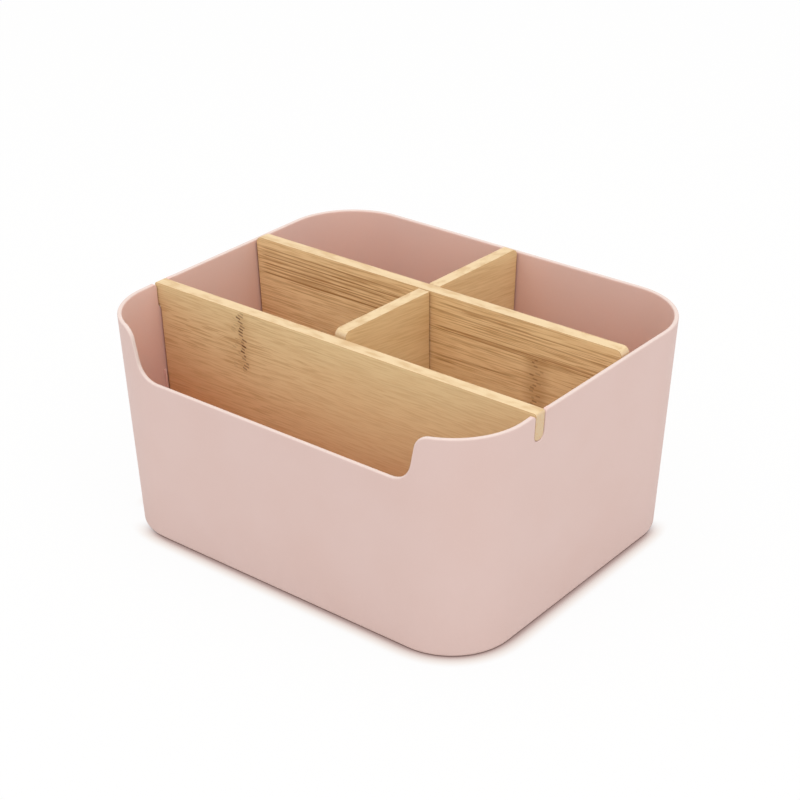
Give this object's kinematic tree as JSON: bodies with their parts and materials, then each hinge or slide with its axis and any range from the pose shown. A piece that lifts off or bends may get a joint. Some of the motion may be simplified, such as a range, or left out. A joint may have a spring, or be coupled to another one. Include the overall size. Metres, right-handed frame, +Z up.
{
  "type": "desk organizer",
  "caption": "Open desk bin with a dipped front wall, a slotted-in bamboo front divider and a lift-out bamboo cross that splits it into compartments.",
  "frame": {"origin": "middle of the flat underside of the bin, on the surface that it stands on", "axes": "+X along the front wall to the right, +Y from the dipped front wall to the back, +Z up"},
  "size_m": [0.205, 0.1694, 0.103],
  "materials": {
    "bin": "matte pale pink, moulded bamboo-fibre plastic",
    "front_board": "sanded bamboo, clear matt",
    "long_board": "sanded bamboo, clear matt",
    "short_board": "sanded bamboo, clear matt"
  },
  "bodies": {
    "bin": {"bin": "bin"},
    "front_divider": {"front_divider": "front_board"},
    "short_cross_divider": {"short_cross_divider": "short_board"},
    "long_cross_divider": {"long_cross_divider": "long_board"}
  },
  "joints": [
    {"name": "front_divider_lift", "type": "slide", "parent": "bin", "child": "front_divider", "axis": [0, 0, 1], "range_m": [0, 0.12]},
    {"name": "cross_lift", "type": "slide", "parent": "bin", "child": "short_cross_divider", "axis": [0, 0, 1], "range_m": [0, 0.12]},
    {"name": "long_divider_lift", "type": "slide", "parent": "short_cross_divider", "child": "long_cross_divider", "axis": [0, 0, 1], "range_m": [0, 0.12]}
  ]
}
